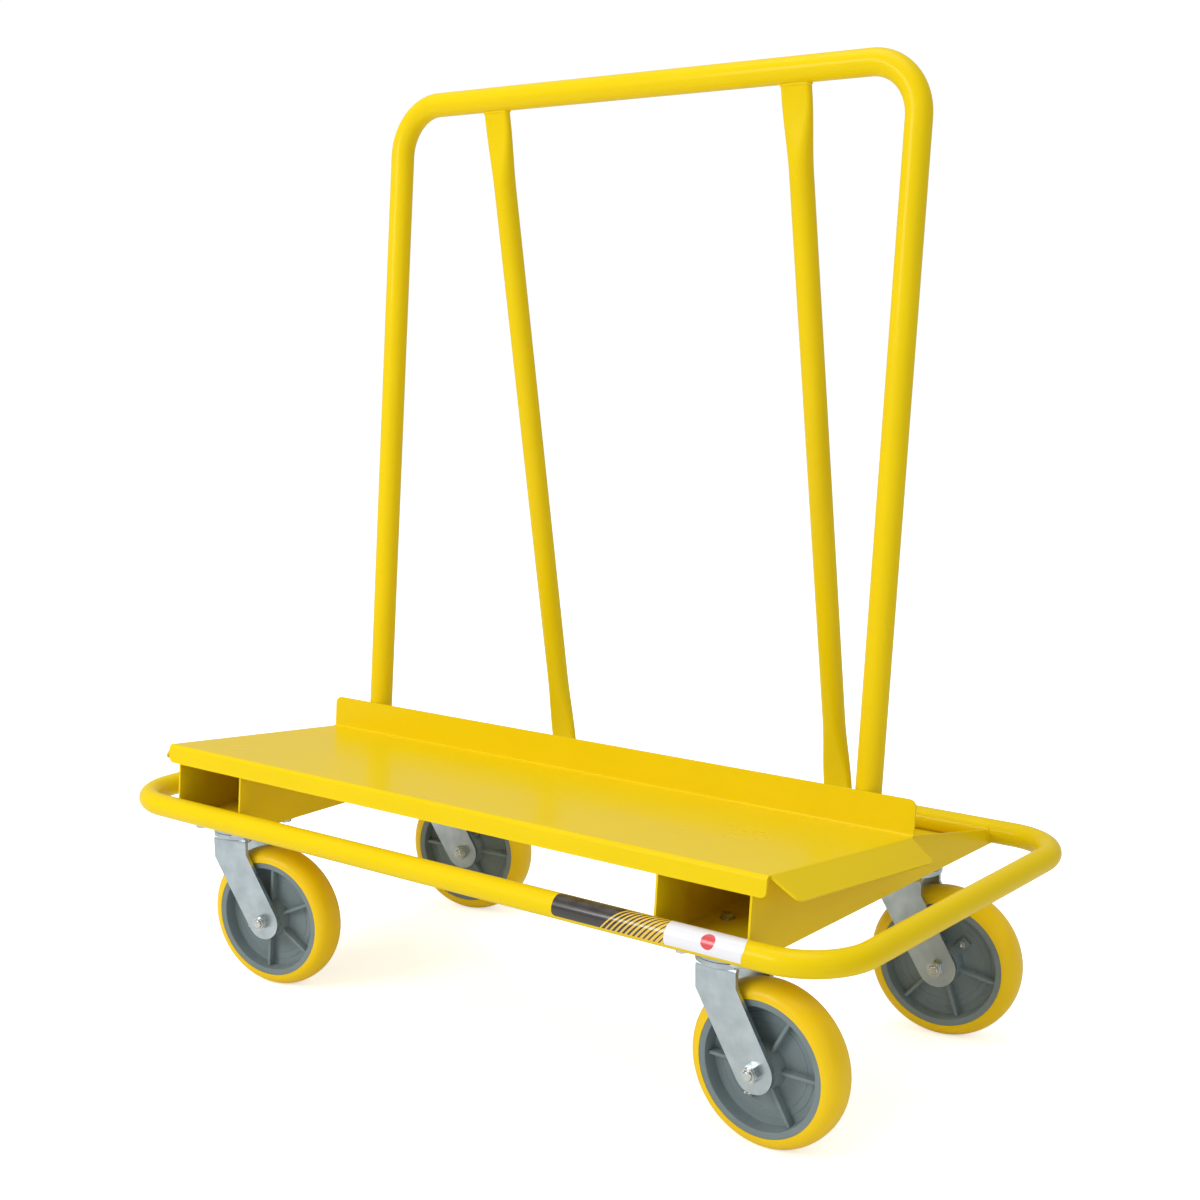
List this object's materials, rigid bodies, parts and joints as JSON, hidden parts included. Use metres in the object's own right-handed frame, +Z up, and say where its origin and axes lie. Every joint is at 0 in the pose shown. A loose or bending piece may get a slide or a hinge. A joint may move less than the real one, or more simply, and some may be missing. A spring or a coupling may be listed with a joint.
{
  "type": "drywall cart",
  "caption": "Four-caster panel cart: sloping deck with back stop, bent-tube base rail, leaning inverted-U push frame with two rear braces, swivel casters.",
  "frame": {"origin": "on the floor, under the middle of the base rail", "axes": "+X along the cart (deck's length), +Y from the open front to the push frame and braces at the back, +Z up"},
  "size_m": [1.2318, 0.6221, 1.2587],
  "materials": {
    "yellow_paint": "glossy yellow powder coat",
    "zinc_plate": "bright zinc plate on pressed steel",
    "zinc_bolts": "bright zinc plate on fasteners",
    "bearing_steel": "ground bearing steel",
    "grey_core": "moulded grey polyolefin",
    "yellow_tread": "smooth yellow polyurethane",
    "striped_label": "black vinyl label with plain slanted stripes",
    "plain_label": "white vinyl label with a plain red disc"
  },
  "bodies": {
    "frame": {"deck_plate": "yellow_paint", "left_caster_channel": "yellow_paint", "right_caster_channel": "yellow_paint", "base_rail": "yellow_paint", "push_frame": "yellow_paint", "left_brace": "yellow_paint", "right_brace": "yellow_paint", "caster_bolts": "zinc_bolts", "caster_nuts": "zinc_bolts", "striped_label": "striped_label", "plain_label": "plain_label", "front_left_top_plate": "zinc_plate", "front_left_kingpin": "zinc_bolts", "front_right_top_plate": "zinc_plate", "front_right_kingpin": "zinc_bolts", "rear_left_top_plate": "zinc_plate", "rear_left_kingpin": "zinc_bolts", "rear_right_top_plate": "zinc_plate", "rear_right_kingpin": "zinc_bolts"},
    "front_left_fork_body": {"front_left_swivel_balls": "bearing_steel", "front_left_fork": "zinc_plate", "front_left_axle_bolt": "zinc_bolts", "front_left_axle_nut": "zinc_bolts", "front_left_axle_sleeve": "bearing_steel"},
    "front_left_wheel_body": {"front_left_wheel_core": "grey_core", "front_left_tread": "yellow_tread", "front_left_roller_bearing": "bearing_steel", "front_left_bearing_washers": "bearing_steel", "front_left_grease_fitting": "zinc_bolts"},
    "front_right_fork_body": {"front_right_swivel_balls": "bearing_steel", "front_right_fork": "zinc_plate", "front_right_axle_bolt": "zinc_bolts", "front_right_axle_nut": "zinc_bolts", "front_right_axle_sleeve": "bearing_steel"},
    "front_right_wheel_body": {"front_right_wheel_core": "grey_core", "front_right_tread": "yellow_tread", "front_right_roller_bearing": "bearing_steel", "front_right_bearing_washers": "bearing_steel", "front_right_grease_fitting": "zinc_bolts"},
    "rear_left_fork_body": {"rear_left_swivel_balls": "bearing_steel", "rear_left_fork": "zinc_plate", "rear_left_axle_bolt": "zinc_bolts", "rear_left_axle_nut": "zinc_bolts", "rear_left_axle_sleeve": "bearing_steel"},
    "rear_left_wheel_body": {"rear_left_wheel_core": "grey_core", "rear_left_tread": "yellow_tread", "rear_left_roller_bearing": "bearing_steel", "rear_left_bearing_washers": "bearing_steel", "rear_left_grease_fitting": "zinc_bolts"},
    "rear_right_fork_body": {"rear_right_swivel_balls": "bearing_steel", "rear_right_fork": "zinc_plate", "rear_right_axle_bolt": "zinc_bolts", "rear_right_axle_nut": "zinc_bolts", "rear_right_axle_sleeve": "bearing_steel"},
    "rear_right_wheel_body": {"rear_right_wheel_core": "grey_core", "rear_right_tread": "yellow_tread", "rear_right_roller_bearing": "bearing_steel", "rear_right_bearing_washers": "bearing_steel", "rear_right_grease_fitting": "zinc_bolts"}
  },
  "joints": [
    {"name": "front_left_swivel", "type": "hinge", "parent": "frame", "child": "front_left_fork_body", "pos_m": [-0.424, -0.226, 0.2244], "axis": [0, 0, 1], "continuous": true},
    {"name": "front_left_wheel_spin", "type": "hinge", "parent": "front_left_fork_body", "child": "front_left_wheel_body", "pos_m": [-0.3709, -0.21616, 0.1016], "axis": [-0.1822, 0.9833, 0], "continuous": true},
    {"name": "front_right_swivel", "type": "hinge", "parent": "frame", "child": "front_right_fork_body", "pos_m": [0.424, -0.226, 0.2244], "axis": [0, 0, 1], "continuous": true},
    {"name": "front_right_wheel_spin", "type": "hinge", "parent": "front_right_fork_body", "child": "front_right_wheel_body", "pos_m": [0.478, -0.226, 0.1016], "axis": [0, 1, 0], "continuous": true},
    {"name": "rear_left_swivel", "type": "hinge", "parent": "frame", "child": "rear_left_fork_body", "pos_m": [-0.424, 0.19, 0.2244], "axis": [0, 0, 1], "continuous": true},
    {"name": "rear_left_wheel_spin", "type": "hinge", "parent": "rear_left_fork_body", "child": "rear_left_wheel_body", "pos_m": [-0.37138, 0.20215, 0.1016], "axis": [-0.225, 0.9744, 0], "continuous": true},
    {"name": "rear_right_swivel", "type": "hinge", "parent": "frame", "child": "rear_right_fork_body", "pos_m": [0.424, 0.19, 0.2244], "axis": [0, 0, 1], "continuous": true},
    {"name": "rear_right_wheel_spin", "type": "hinge", "parent": "rear_right_fork_body", "child": "rear_right_wheel_body", "pos_m": [0.47747, 0.19751, 0.1016], "axis": [-0.1392, 0.9903, 0], "continuous": true}
  ]
}
